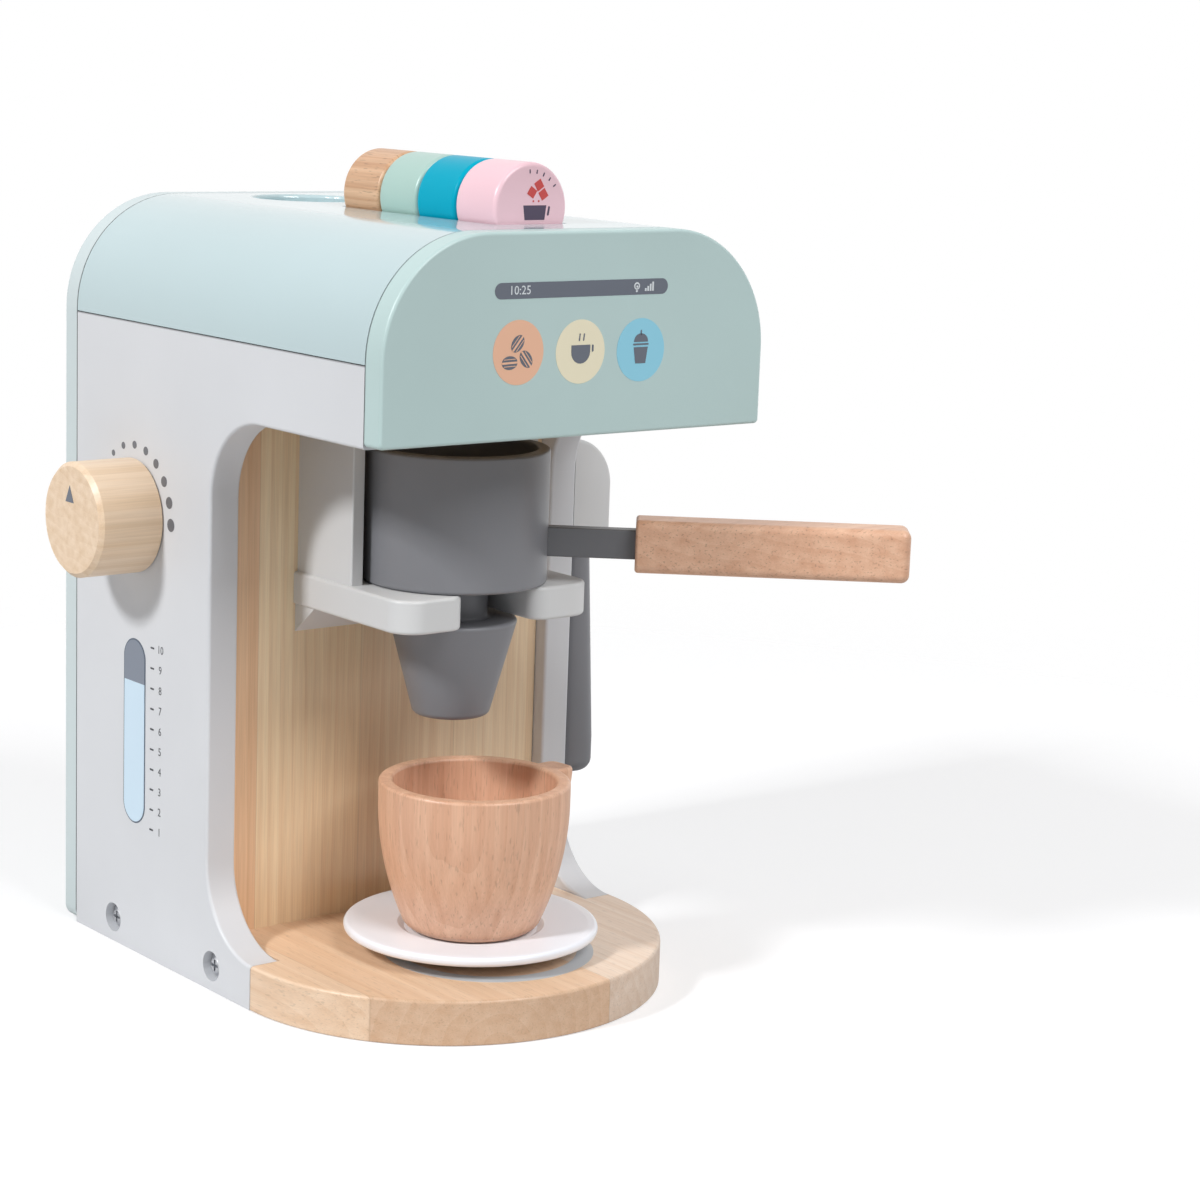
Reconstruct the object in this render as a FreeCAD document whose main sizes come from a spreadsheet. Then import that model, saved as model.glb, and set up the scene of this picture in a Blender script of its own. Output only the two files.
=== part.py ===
import FreeCAD, Part
import math
import os
import Sketcher

# Toy coffee maker for pretend play: two C-shaped side boards, a back board, a D-shaped fascia and a
# bent top cover around a pine board and base, with a portafilter in an open fork, a dial knob,
# a steam wand, four capsules in a slot on top, and a cup on its saucer.
# The front faces -Y, +Z is up, and the origin is the centre of the footprint on the table.

doc = FreeCAD.newDocument("toy_coffee_maker")
sheet = doc.addObject("Spreadsheet::Sheet", "Sizes")
exports = []


class Dim:
    """A size: its value in mm or degrees, and the sheet expression that gives it."""

    def __init__(self, value, text):
        self.value = float(value)
        self.text = text

    def __add__(self, other):
        return Dim(self.value + number(other), "(%s + %s)" % (self.text, written(other)))

    def __radd__(self, other):
        return Dim(number(other) + self.value, "(%s + %s)" % (written(other), self.text))

    def __sub__(self, other):
        return Dim(self.value - number(other), "(%s - %s)" % (self.text, written(other)))

    def __rsub__(self, other):
        return Dim(number(other) - self.value, "(%s - %s)" % (written(other), self.text))

    def __mul__(self, other):
        return Dim(self.value * number(other), "(%s * %s)" % (self.text, written(other)))

    def __rmul__(self, other):
        return Dim(number(other) * self.value, "(%s * %s)" % (written(other), self.text))

    def __truediv__(self, other):
        return Dim(self.value / number(other), "(%s / %s)" % (self.text, written(other)))

    def __neg__(self):
        return Dim(-self.value, "(0 - %s)" % self.text)


def number(size):
    return size.value if isinstance(size, Dim) else float(size)


def written(size):
    return size.text if isinstance(size, Dim) else repr(float(size))


def root(size):
    return Dim(math.sqrt(number(size)), "sqrt(%s)" % written(size))


def leg(hypotenuse, side):
    """The other short side of a right triangle."""
    return root(hypotenuse * hypotenuse - side * side)


def size(name, value, meaning):
    """Writes one driving size on the sheet and hands it back."""
    size.row += 1
    row = str(size.row)
    sheet.set("A" + row, meaning)
    sheet.set("B" + row, repr(float(value)))
    sheet.setAlias("B" + row, name)
    return Dim(value, "Sizes." + name)


size.row = 0

# Housing
body_width = size("body_width", 162.0, "width over the two side boards")
bay_height = size("bay_height", 189.5, "base plate's top to the underside of the heads")
head_height = size("head_height", 27.0, "side board's head height")
top_radius = size("top_radius", 41.5, "outer radius of the cover's long edges")
cover_skirt = size("cover_skirt", 1.0, "cover's upright part below its rounded edges")
side_thick = size("side_thick", 12.0, "side board thickness")
end_thick = size("end_thick", 9.0, "back board and fascia thickness")
cover_thick = size("cover_thick", 9.0, "top cover wall")
base_thick = size("base_thick", 16.0, "base plate thickness and foot height")
column_depth = size("column_depth", 102.0, "depth of the rear column")
head_overhang = size("head_overhang", 62.2, "side board's head in front of its foot")
inner_radius = size("inner_radius", 29.5, "concave radius below the head and above the foot")
fascia_reveal = size("fascia_reveal", 1.0, "fascia's lower edge above the side boards' heads")
fascia_corner = size("fascia_corner", 1.6, "fascia's lower corner radius")
back_corner = size("back_corner", 5.0, "back board's lower corner radius")
joint_gap = size("joint_gap", 0.3, "seam between neighbouring boards")
soft_edge = size("soft_edge", 1.2, "sanded edge radius of boards")

# Pine board and head floor
board_setback = size("board_setback", 6.1, "pine board behind the column's front edge")
board_thick = size("board_thick", 12.0, "pine board thickness")
floor_setup = size("floor_setup", 6.5, "head floor above the side boards' heads")
floor_thick = size("floor_thick", 9.0, "head floor thickness")

# Brew group
brew_reach = size("brew_reach", 39.3, "portafilter axis in front of the pine board")
fork_width = size("fork_width", 84.0, "fork plate width")
fork_reach = size("fork_reach", 67.7, "fork plate's front edge in front of the pine board")
fork_thick = size("fork_thick", 12.0, "fork plate thickness")
cheek_height = size("cheek_height", 65.3, "head floor's underside to the fork plate's top")
fork_corner = size("fork_corner", 10.0, "fork plate's front corner radius")
fork_slot = size("fork_slot", 30.0, "width of the fork's slot")
prong_round = size("prong_round", 6.0, "rounding of the slot's mouth")
cheek_thick = size("cheek_thick", 5.0, "thickness of the cheeks beside the portafilter")
cheek_depth = size("cheek_depth", 33.9, "cheek depth in front of the pine board")
cheek_inset = size("cheek_inset", 1.5, "cheek's outer face inside the fork's side")
cleat_depth = size("cleat_depth", 12.0, "bevelled cleat's top depth")
cleat_height = size("cleat_height", 10.0, "bevelled cleat's height")

# Portafilter
filter_radius = size("filter_radius", 33.0, "portafilter cup's outer radius")
filter_height = size("filter_height", 48.0, "portafilter cup's height")
filter_wall = size("filter_wall", 5.0, "portafilter cup's wall")
filter_floor = size("filter_floor", 8.0, "portafilter cup's floor")
neck_radius = size("neck_radius", 12.2, "neck that runs in the fork's slot")
spout_radius = size("spout_radius", 23.2, "spout's upper radius")
spout_tip = size("spout_tip", 13.6, "spout's lower radius")
spout_drop = size("spout_drop", 49.0, "cup's underside to spout's tip")
peg_radius = size("peg_radius", 4.0, "peg between neck and cup")
peg_length = size("peg_length", 5.0, "peg standing above the neck")
run_gap = size("run_gap", 0.06, "radial running clearance of pegs and dowels")
rest_gap = size("rest_gap", 0.2, "gap under a piece that just stands on another")
bar_height = size("bar_height", 10.5, "flat bar's height")
bar_thick = size("bar_thick", 6.0, "flat bar's thickness")
bar_centre = size("bar_centre", 15.0, "flat bar's centre above the cup's underside")
bar_tenon = size("bar_tenon", 3.0, "bar let into the cup's wall")
handle_start = size("handle_start", 64.0, "wooden grip's inner end from the axis")
handle_length = size("handle_length", 97.0, "wooden grip's length")
handle_height = size("handle_height", 19.0, "wooden grip's height")
handle_thick = size("handle_thick", 16.0, "wooden grip's thickness")
handle_mortise = size("handle_mortise", 18.0, "bar let into the grip")
handle_angle = size("handle_angle", 40.3, "grip turned from the right towards the front")

# Knob on the left board
knob_back = size("knob_back", 50.7, "knob axis in front of the back face")
knob_rise = size("knob_rise", 163.2, "knob axis above the table")
knob_radius = size("knob_radius", 20.7, "knob radius")
knob_length = size("knob_length", 25.0, "knob length")
knob_bevel = size("knob_bevel", 1.6, "bevel round the knob's face")
axle_radius = size("axle_radius", 5.0, "knob's dowel radius")
axle_socket = size("axle_socket", 14.0, "dowel let into the knob")
retainer_radius = size("retainer_radius", 10.0, "retaining ring radius")
retainer_thick = size("retainer_thick", 4.0, "retaining ring thickness")

# Steam wand on the right board
holder_width = size("holder_width", 18.0, "holder standing out from the side board")
holder_depth = size("holder_depth", 22.0, "holder's depth")
holder_setback = size("holder_setback", 0.8, "holder behind the column's front edge")
holder_bottom = size("holder_bottom", 148.0, "holder's underside")
holder_straight = size("holder_straight", 21.0, "holder's upright part below the arc")
holder_arc = size("holder_arc", 18.5, "radius of the holder's rounded back")
pivot_radius = size("pivot_radius", 4.0, "holder's pivot dowel radius")
pivot_rise = size("pivot_rise", 18.0, "pivot above the holder's underside")
pivot_depth = size("pivot_depth", 10.0, "pivot dowel in the holder and in the board")
wand_top = size("wand_top", 5.2, "wand radius under the holder")
wand_end = size("wand_end", 8.9, "wand radius at its lower end")
wand_length = size("wand_length", 93.0, "wand below the holder")
wand_round = size("wand_round", 5.0, "rounding of the wand's end")
wand_peg = size("wand_peg", 3.5, "wand's peg radius")
wand_offset = size("wand_offset", 10.2, "wand axis from the side board")
socket_web = size("socket_web", 2.0, "wood between the wand's socket and the pivot's bore")

# Capsules and the recess on top
pod_radius = size("pod_radius", 15.5, "capsule radius")
pod_thick = size("pod_thick", 22.3, "capsule thickness")
pod_gap = size("pod_gap", 0.3, "gap between capsules")
pod_rise = size("pod_rise", 5.2, "capsule centre above the cover")
pod_front = size("pod_front", 30.1, "capsule row behind the fascia's front face")
pod_edge = size("pod_edge", 1.6, "capsule edge radius")
slot_play = size("slot_play", 0.6, "play round the capsule row")
rack_thick = size("rack_thick", 8.0, "grooved rack under the slot")
rack_margin = size("rack_margin", 7.0, "rack beyond the slot")
recess_radius = size("recess_radius", 22.0, "round recess radius")
recess_back = size("recess_back", 40.0, "round recess axis in front of the back face")
recess_depth = size("recess_depth", 18.0, "round recess depth")
recess_wall = size("recess_wall", 3.0, "wall and floor of the recess tray")

# Cup and saucer
cup_reach = size("cup_reach", 55.0, "cup axis in front of the pine board")
cup_radius = size("cup_radius", 34.3, "cup's rim radius")
cup_height = size("cup_height", 54.4, "cup's height")
cup_wall = size("cup_wall", 5.0, "cup's wall")
cup_belly = size("cup_belly", 107.0, "radius of the cup's side curve")
cup_straight = size("cup_straight", 7.3, "upright part below the rim")
cup_floor = size("cup_floor", 8.0, "cup's floor")
cup_round = size("cup_round", 5.5, "rounding of the cup's foot")
ear_reach = size("ear_reach", 10.5, "ear beyond the cup's rim")
ear_thick = size("ear_thick", 12.5, "ear thickness")
ear_corner = size("ear_corner", 3.5, "rounding of the ear's long outer edges")
ear_turn = size("ear_turn", 6.0, "ear turned from the right towards the back")
ear_drop = size("ear_drop", 34.0, "ear's foot below the rim")
ear_radius = size("ear_radius", 48.0, "ear's hollow lower curve")
ear_trim = size("ear_trim", 6.0, "cut that fits the ear to the cup, below the ear's foot")
saucer_radius = size("saucer_radius", 45.7, "saucer radius")
saucer_height = size("saucer_height", 8.5, "saucer height at the rim")
saucer_lip = size("saucer_lip", 3.0, "thickness of the saucer's rounded rim")
saucer_foot = size("saucer_foot", 27.0, "saucer's foot radius")
saucer_well = size("saucer_well", 24.0, "saucer's well radius")
saucer_bed = size("saucer_bed", 6.1, "well floor above the saucer's foot")
saucer_slope = size("saucer_slope", 1.0, "dish's inner edge below the rim")

# Screws through the side boards into the base
screw_rise = size("screw_rise", 9.0, "screw axis above the table")
screw_rear = size("screw_rear", 37.0, "rear screw in front of the back face")
screw_front = size("screw_front", 106.0, "front screw in front of the back face")
sink_radius = size("sink_radius", 5.5, "counterbore radius")
sink_depth = size("sink_depth", 4.0, "counterbore depth")
screw_head = size("screw_head", 4.7, "screw head radius")
screw_cap = size("screw_cap", 2.4, "screw head height")
screw_shank = size("screw_shank", 1.8, "screw shank radius")
screw_length = size("screw_length", 26.0, "screw shank length")

doc.recompute()

# Planes and lines that several pieces share
head_bottom = base_thick + bay_height
cover_seam = head_bottom + head_height
body_height = cover_seam + cover_skirt + top_radius
half_width = body_width / 2
inner_half = half_width - side_thick
foot_depth = column_depth + inner_radius
back_y = (foot_depth + joint_gap + half_width) / 2
frame_back = back_y - end_thick - joint_gap
foot_front = back_y - foot_depth
column_front = back_y - column_depth
frame_front = foot_front - head_overhang
front_y = frame_front - joint_gap - end_thick
board_front = column_front + board_setback
floor_under = head_bottom + floor_setup
cover_under = body_height - cover_thick
fork_top = floor_under - cheek_height
brew_y = board_front - brew_reach
cup_y = board_front - cup_reach
fork_half = fork_width / 2
fork_under = fork_top - fork_thick
filter_base = fork_top + rest_gap
shaft_y = back_y - knob_back
holder_front = column_front + holder_setback
holder_mid = holder_front + holder_depth / 2
pod_height = body_height + pod_rise
row_length = 4 * pod_thick + 3 * pod_gap
row_back = front_y + pod_front + row_length
slot_half = leg(pod_radius, pod_rise) + slot_play


def new_body(name, x=0.0, y=0.0, z=0.0, turn=0.0):
    """A body with its own place, listed for export."""
    body = doc.addObject("PartDesign::Body", name)
    body.Label = name
    spot = FreeCAD.Vector(number(x), number(y), number(z))
    spin = FreeCAD.Rotation(FreeCAD.Vector(0, 0, 1), number(turn))
    body.Placement = FreeCAD.Placement(spot, spin)
    exports.append(body)
    return body


def sketch_on(body, role, offset=0.0):
    """A sketch on one of the body's own origin planes, moved along the plane's normal."""
    plane = [p for p in body.Origin.OriginFeatures if p.Role == role][0]
    sketch = body.newObject("Sketcher::SketchObject", body.Name + "_sketch")
    sketch.AttachmentSupport = (plane, "")
    sketch.MapMode = "FlatFace"
    sketch.AttachmentOffset = FreeCAD.Placement(FreeCAD.Vector(0, 0, number(offset)), FreeCAD.Rotation())
    if isinstance(offset, Dim):
        sketch.setExpression("AttachmentOffset.Base.z", offset.text)
    return sketch


def bind(sketch, constraint, amount):
    """Adds a dimension and ties it to the sheet."""
    index = sketch.addConstraint(constraint)
    if isinstance(amount, Dim):
        name = "size_%d" % index
        sketch.renameConstraint(index, name)
        sketch.setExpression("Constraints." + name, amount.text)


def pin_point(sketch, geometry, end, point):
    """Fixes a point by its two distances from the sketch's origin."""
    for kind, amount, axis in (("DistanceX", point[0], -2), ("DistanceY", point[1], -1)):
        value = number(amount)
        if abs(value) < 1e-9:
            sketch.addConstraint(Sketcher.Constraint("PointOnObject", geometry, end, axis))
        elif value > 0:
            bind(sketch, Sketcher.Constraint(kind, -1, 1, geometry, end, value), amount)
        else:
            bind(sketch, Sketcher.Constraint(kind, geometry, end, -1, 1, -value), 0 - amount)


def outline(sketch, start, steps):
    """A closed outline of lines and arcs. A step is a point, or a point, a radius and a turn:
    1 for an arc that turns left, -1 for one that turns right."""
    flat = FreeCAD.Vector(0, 0, 1)
    previous = start
    ends = []
    for step in steps:
        point = step[0]
        a = FreeCAD.Vector(number(previous[0]), number(previous[1]), 0)
        b = FreeCAD.Vector(number(point[0]), number(point[1]), 0)
        if len(step) == 1:
            ends.append((sketch.addGeometry(Part.LineSegment(a, b), False), 1, 2))
        else:
            radius = number(step[1])
            chord = b - a
            rise = math.sqrt(max(radius ** 2 - (chord.Length / 2) ** 2, 0.0))
            left = FreeCAD.Vector(-chord.y, chord.x, 0).normalize()
            centre = (a + b) / 2 + left * rise * step[2]
            first, last = (a, b) if step[2] > 0 else (b, a)
            begin = math.atan2(first.y - centre.y, first.x - centre.x)
            finish = math.atan2(last.y - centre.y, last.x - centre.x)
            if finish < begin:
                finish += 2 * math.pi
            arc = Part.ArcOfCircle(Part.Circle(centre, flat, radius), begin, finish)
            index = sketch.addGeometry(arc, False)
            ends.append((index, 1, 2) if step[2] > 0 else (index, 2, 1))
        previous = point
    for here, after in zip(ends, ends[1:] + ends[:1]):
        sketch.addConstraint(Sketcher.Constraint("Coincident", here[0], here[2], after[0], after[1]))
    for (index, first, last), step in zip(ends, steps):
        pin_point(sketch, index, last, step[0])
        if len(step) == 3:
            bind(sketch, Sketcher.Constraint("Radius", index, number(step[1])), step[1])


def box_outline(sketch, left, low, right, high):
    outline(sketch, (left, low), [((right, low),), ((right, high),), ((left, high),), ((left, low),)])


def circle(sketch, x, y, radius):
    middle = FreeCAD.Vector(number(x), number(y), 0)
    index = sketch.addGeometry(Part.Circle(middle, FreeCAD.Vector(0, 0, 1), number(radius)), False)
    pin_point(sketch, index, 3, (x, y))
    bind(sketch, Sketcher.Constraint("Radius", index, number(radius)), radius)


def feature(body, kind, sketch, length=None):
    """A pad, pocket, revolution or groove of a sketch, as the body's new tip."""
    doc.recompute()
    item = body.newObject("PartDesign::" + kind, body.Name + "_" + kind.lower())
    item.Profile = sketch
    if kind in ("Revolution", "Groove"):
        item.ReferenceAxis = (sketch, ["V_Axis"])
        item.Angle = 360.0
    elif length is None:
        item.Type = "ThroughAll"
    else:
        item.Length = number(length)
        item.setExpression("Length", written(length))
    sketch.Visibility = False
    body.Tip = item
    doc.recompute()
    return item


def dress(body, kind, amount, wanted):
    """A fillet or chamfer on the tip's edges that the test picks."""
    base = body.Tip
    names = ["Edge%d" % (i + 1) for i, edge in enumerate(base.Shape.Edges) if wanted(edge)]
    item = body.newObject("PartDesign::" + kind, body.Name + "_" + kind.lower())
    item.Base = (base, names)
    if kind == "Fillet":
        item.Radius = number(amount)
        item.setExpression("Radius", written(amount))
    else:
        item.Size = number(amount)
        item.setExpression("Size", written(amount))
    body.Tip = item
    doc.recompute()
    return item


def near(value, target, slack=0.02):
    return abs(value - number(target)) < slack


def level(edge, axis, target):
    """True for an edge that lies wholly in the plane axis = target."""
    box = edge.BoundBox
    low, high = (box.XMin, box.XMax) if axis == "x" else (box.YMin, box.YMax)
    if axis == "z":
        low, high = box.ZMin, box.ZMax
    return near(low, target) and near(high, target)


def upright(edge):
    box = edge.BoundBox
    return box.XLength < 0.01 and box.YLength < 0.01 and box.ZLength > 1.0


def side_board(name, outer, inner):
    """C-shaped side board: column, head and low foot, with counterbored screw holes by the base."""
    body = new_body(name)
    left = min(number(outer), number(inner)) == number(outer)
    sketch = sketch_on(body, "YZ_Plane", outer if left else inner)
    outline(sketch, (frame_back, 0), [
        ((foot_front, 0),),
        ((foot_front, base_thick),),
        ((column_front, base_thick + inner_radius), inner_radius, 1),
        ((column_front, head_bottom - inner_radius),),
        ((foot_front, head_bottom), inner_radius, 1),
        ((frame_front, head_bottom),),
        ((frame_front, cover_seam),),
        ((frame_back, cover_seam),),
        ((frame_back, 0),),
    ])
    feature(body, "Pad", sketch, side_thick)

    def free_edge(edge):
        middle = edge.CenterOfMass
        flat = level(edge, "x", outer) or level(edge, "x", inner)
        inside = number(frame_front) + 1 < middle.y < number(column_front) + 0.1
        return flat and inside and number(base_thick) + 0.1 < middle.z < number(head_bottom) + 0.1
    dress(body, "Fillet", soft_edge, free_edge)
    screws = sketch_on(body, "YZ_Plane", inner if left else outer)
    sinks = sketch_on(body, "YZ_Plane", outer + sink_depth if left else outer)
    for reach in (screw_rear, screw_front):
        circle(screws, back_y - reach, screw_rise, screw_shank + 0.4)
        circle(sinks, back_y - reach, screw_rise, sink_radius)
    feature(body, "Pocket", screws, side_thick)
    feature(body, "Pocket", sinks, sink_depth)
    return body


def left_board():
    body = side_board("side_board_left", -half_width, -inner_half)
    bore = sketch_on(body, "YZ_Plane", -inner_half)
    circle(bore, shaft_y, knob_rise, axle_radius + run_gap)
    feature(body, "Pocket", bore, side_thick)


def right_board():
    body = side_board("side_board_right", half_width, inner_half)
    bore = sketch_on(body, "YZ_Plane", half_width)
    circle(bore, holder_mid, holder_bottom + pivot_rise, pivot_radius + run_gap)
    feature(body, "Pocket", bore, pivot_depth + rest_gap)


def end_board(name, rear_face, low, corner):
    """Upright end board with the cover's rounded shoulders."""
    body = new_body(name)
    sketch = sketch_on(body, "XZ_Plane", -rear_face)
    outline(sketch, (corner - half_width, low), [
        ((half_width - corner, low),),
        ((half_width, low + corner), corner, 1),
        ((half_width, body_height - top_radius),),
        ((half_width - top_radius, body_height), top_radius, 1),
        ((top_radius - half_width, body_height),),
        ((-half_width, body_height - top_radius), top_radius, 1),
        ((-half_width, low + corner),),
        ((corner - half_width, low), corner, 1),
    ])
    feature(body, "Pad", sketch, end_thick)
    outward = rear_face if number(rear_face) > 0 else rear_face - end_thick
    dress(body, "Fillet", soft_edge, lambda edge: level(edge, "y", outward))
    return body


def top_cover():
    """Bent cover between the end boards, open to the capsule slot and the round recess."""
    body = new_body("top_cover")
    sketch = sketch_on(body, "XZ_Plane", -frame_back)
    foot = cover_seam + joint_gap
    shoulder = cover_seam + cover_skirt
    hollow = top_radius - cover_thick
    outline(sketch, (half_width, foot), [
        ((half_width, shoulder),),
        ((half_width - top_radius, body_height), top_radius, 1),
        ((top_radius - half_width, body_height),),
        ((-half_width, shoulder), top_radius, 1),
        ((-half_width, foot),),
        ((cover_thick - half_width, foot),),
        ((cover_thick - half_width, shoulder),),
        ((top_radius - half_width, cover_under), hollow, -1),
        ((half_width - top_radius, cover_under),),
        ((half_width - cover_thick, shoulder), hollow, -1),
        ((half_width - cover_thick, foot),),
        ((half_width, foot),),
    ])
    feature(body, "Pad", sketch, frame_back - frame_front)
    cuts = sketch_on(body, "XY_Plane", body_height)
    box_outline(cuts, -slot_half, row_back - row_length - slot_play, slot_half, row_back + slot_play)
    circle(cuts, 0, back_y - recess_back, recess_radius)
    feature(body, "Pocket", cuts, cover_thick)

    def slot_corner(edge):
        return upright(edge) and abs(edge.CenterOfMass.x) < number(slot_half) + 0.1
    dress(body, "Fillet", soft_edge + soft_edge, slot_corner)

    def top_opening(edge):
        between = number(frame_front) + 0.1 < edge.CenterOfMass.y < number(frame_back) - 0.1
        across = abs(edge.CenterOfMass.x) < number(half_width - top_radius) - 0.1
        return level(edge, "z", body_height) and between and across
    dress(body, "Fillet", soft_edge, top_opening)


def pine_board():
    """Glued pine board between the side boards, behind the brew bay."""
    body = new_body("inner_back_board")
    sketch = sketch_on(body, "XZ_Plane", -(board_front + board_thick))
    box_outline(sketch, joint_gap - inner_half, base_thick, inner_half - joint_gap, floor_under + floor_thick)
    feature(body, "Pad", sketch, board_thick)


def base_plate():
    """Base whose tongue lies between the side boards and whose front swells to a half round."""
    body = new_body("base_plate")
    sketch = sketch_on(body, "XY_Plane")
    tongue = inner_half - joint_gap
    shoulder = foot_front - joint_gap
    outline(sketch, (tongue, frame_back), [
        ((-tongue, frame_back),),
        ((-tongue, shoulder),),
        ((-half_width, shoulder),),
        ((0, shoulder - half_width), half_width, 1),
        ((half_width, shoulder), half_width, 1),
        ((tongue, shoulder),),
        ((tongue, frame_back),),
    ])
    feature(body, "Pad", sketch, base_thick)

    def rounded_rim(edge):
        return level(edge, "z", base_thick) and edge.CenterOfMass.y < number(shoulder) - 1

    def lower_rim(edge):
        return level(edge, "z", 0) and edge.CenterOfMass.y < number(shoulder) - 1
    dress(body, "Fillet", soft_edge, rounded_rim)
    dress(body, "Fillet", soft_edge / 2, lower_rim)
    for side in (tongue, -tongue):
        pilots = sketch_on(body, "YZ_Plane", side)
        for reach in (screw_rear, screw_front):
            circle(pilots, back_y - reach, screw_rise, screw_shank + run_gap)
        cut = feature(body, "Pocket", pilots, screw_length)
        cut.Reversed = number(side) < 0
        doc.recompute()


def head_floor():
    """Board that closes the head above the brew bay and carries the cheeks."""
    body = new_body("head_floor")
    sketch = sketch_on(body, "XY_Plane", floor_under)
    box_outline(sketch, joint_gap - inner_half, frame_front, inner_half - joint_gap, board_front)
    feature(body, "Pad", sketch, floor_thick)


def pod_rack():
    """Grooved block glued under the cover, where the capsules stand."""
    body = new_body("pod_rack")
    sketch = sketch_on(body, "XY_Plane", cover_under - rack_thick)
    reach = slot_half + rack_margin
    front = row_back - row_length - rack_margin
    box_outline(sketch, -reach, front, reach, row_back + rack_margin)
    feature(body, "Pad", sketch, rack_thick)
    trough = sketch_on(body, "XZ_Plane", -(row_back + slot_play))
    circle(trough, 0, pod_height, pod_radius + rest_gap)
    cut = feature(body, "Pocket", trough, row_length + 2 * slot_play)
    cut.Reversed = True
    doc.recompute()


def recess_tray():
    """Round tray glued under the cover's hole."""
    body = new_body("recess_tray", 0, back_y - recess_back, body_height - recess_depth - recess_wall)
    sketch = sketch_on(body, "XZ_Plane")
    rim = recess_depth + recess_wall - cover_thick
    outline(sketch, (0, 0), [
        ((recess_radius + recess_wall, 0),),
        ((recess_radius + recess_wall, rim),),
        ((recess_radius, rim),),
        ((recess_radius, recess_wall),),
        ((0, recess_wall),),
        ((0, 0),),
    ])
    feature(body, "Revolution", sketch)
    dress(body, "Fillet", soft_edge, lambda edge: level(edge, "z", recess_wall))


def cheek(name, side):
    """Thin upright cheek beside the portafilter, from the fork up to the head floor."""
    body = new_body(name)
    sketch = sketch_on(body, "XY_Plane", fork_top)
    outer = fork_half - cheek_inset
    inner = outer - cheek_thick
    if side < 0:
        box_outline(sketch, -outer, board_front - cheek_depth, -inner, board_front)
    else:
        box_outline(sketch, inner, board_front - cheek_depth, outer, board_front)
    feature(body, "Pad", sketch, floor_under - fork_top)

    def front_edge(edge):
        return upright(edge) and near(edge.CenterOfMass.y, board_front - cheek_depth)
    dress(body, "Fillet", soft_edge / 2, front_edge)


def fork_plate():
    """Shelf with rounded front corners and an open slot for the portafilter's neck."""
    body = new_body("fork_plate")
    sketch = sketch_on(body, "XY_Plane", fork_under)
    tip = board_front - fork_reach
    slot = fork_slot / 2
    outline(sketch, (-fork_half, board_front), [
        ((-fork_half, tip + fork_corner),),
        ((fork_corner - fork_half, tip), fork_corner, 1),
        ((-slot, tip),),
        ((-slot, brew_y),),
        ((0, brew_y + slot), slot, -1),
        ((slot, brew_y), slot, -1),
        ((slot, tip),),
        ((fork_half - fork_corner, tip),),
        ((fork_half, tip + fork_corner), fork_corner, 1),
        ((fork_half, board_front),),
        ((-fork_half, board_front),),
    ])
    feature(body, "Pad", sketch, fork_thick)

    def prong_tip(edge):
        return upright(edge) and near(edge.CenterOfMass.y, tip)
    dress(body, "Fillet", prong_round, prong_tip)

    def rim(edge):
        flat = level(edge, "z", fork_top) or level(edge, "z", fork_under)
        return flat and edge.CenterOfMass.y < number(board_front) - 0.5
    dress(body, "Fillet", soft_edge, rim)


def fork_cleat():
    """Bevelled cleat under the fork, against the pine board."""
    body = new_body("fork_cleat")
    reach = fork_half - cheek_inset / 2
    sketch = sketch_on(body, "YZ_Plane", -reach)
    outline(sketch, (board_front, fork_under), [
        ((board_front - cleat_depth, fork_under),),
        ((board_front, fork_under - cleat_height),),
        ((board_front, fork_under),),
    ])
    feature(body, "Pad", sketch, 2 * reach)


def portafilter_cup():
    """Turned hollow cup that stands on the fork, with a bore for the neck's peg."""
    body = new_body("portafilter_cup", 0, brew_y, filter_base, -handle_angle)
    sketch = sketch_on(body, "XZ_Plane")
    inside = filter_radius - filter_wall
    bore = peg_radius + run_gap
    outline(sketch, (bore, 0), [
        ((filter_radius, 0),),
        ((filter_radius, filter_height),),
        ((inside, filter_height),),
        ((inside, filter_floor),),
        ((0, filter_floor),),
        ((0, peg_length + rest_gap),),
        ((bore, peg_length + rest_gap),),
        ((bore, 0),),
    ])
    feature(body, "Revolution", sketch)

    def turned_edge(edge):
        foot = level(edge, "z", 0) and edge.BoundBox.XLength > number(inside)
        return foot or level(edge, "z", filter_height) or level(edge, "z", filter_floor)
    dress(body, "Fillet", soft_edge, turned_edge)
    mortise = sketch_on(body, "YZ_Plane", filter_radius + 1)
    half = bar_thick / 2 + run_gap
    low = bar_centre - bar_height / 2 - run_gap
    box_outline(mortise, -half, low, half, bar_centre + bar_height / 2 + run_gap)
    feature(body, "Pocket", mortise, bar_tenon + 1)


def portafilter_spout():
    """Turned neck and tapered spout in one piece, with a peg into the cup's floor."""
    body = new_body("portafilter_spout", 0, brew_y, filter_base)
    sketch = sketch_on(body, "XZ_Plane")
    shoulder = fork_thick + rest_gap + soft_edge
    outline(sketch, (0, -spout_drop), [
        ((spout_tip, -spout_drop),),
        ((spout_radius, -shoulder),),
        ((neck_radius, -shoulder),),
        ((neck_radius, -rest_gap),),
        ((peg_radius, -rest_gap),),
        ((peg_radius, peg_length),),
        ((0, peg_length),),
        ((0, -spout_drop),),
    ])
    feature(body, "Revolution", sketch)
    dress(body, "Fillet", 2 * soft_edge, lambda edge: level(edge, "z", -spout_drop))

    def shoulder_rim(edge):
        return level(edge, "z", -shoulder) and edge.BoundBox.XLength > number(spout_radius)
    dress(body, "Fillet", soft_edge, shoulder_rim)


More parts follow.
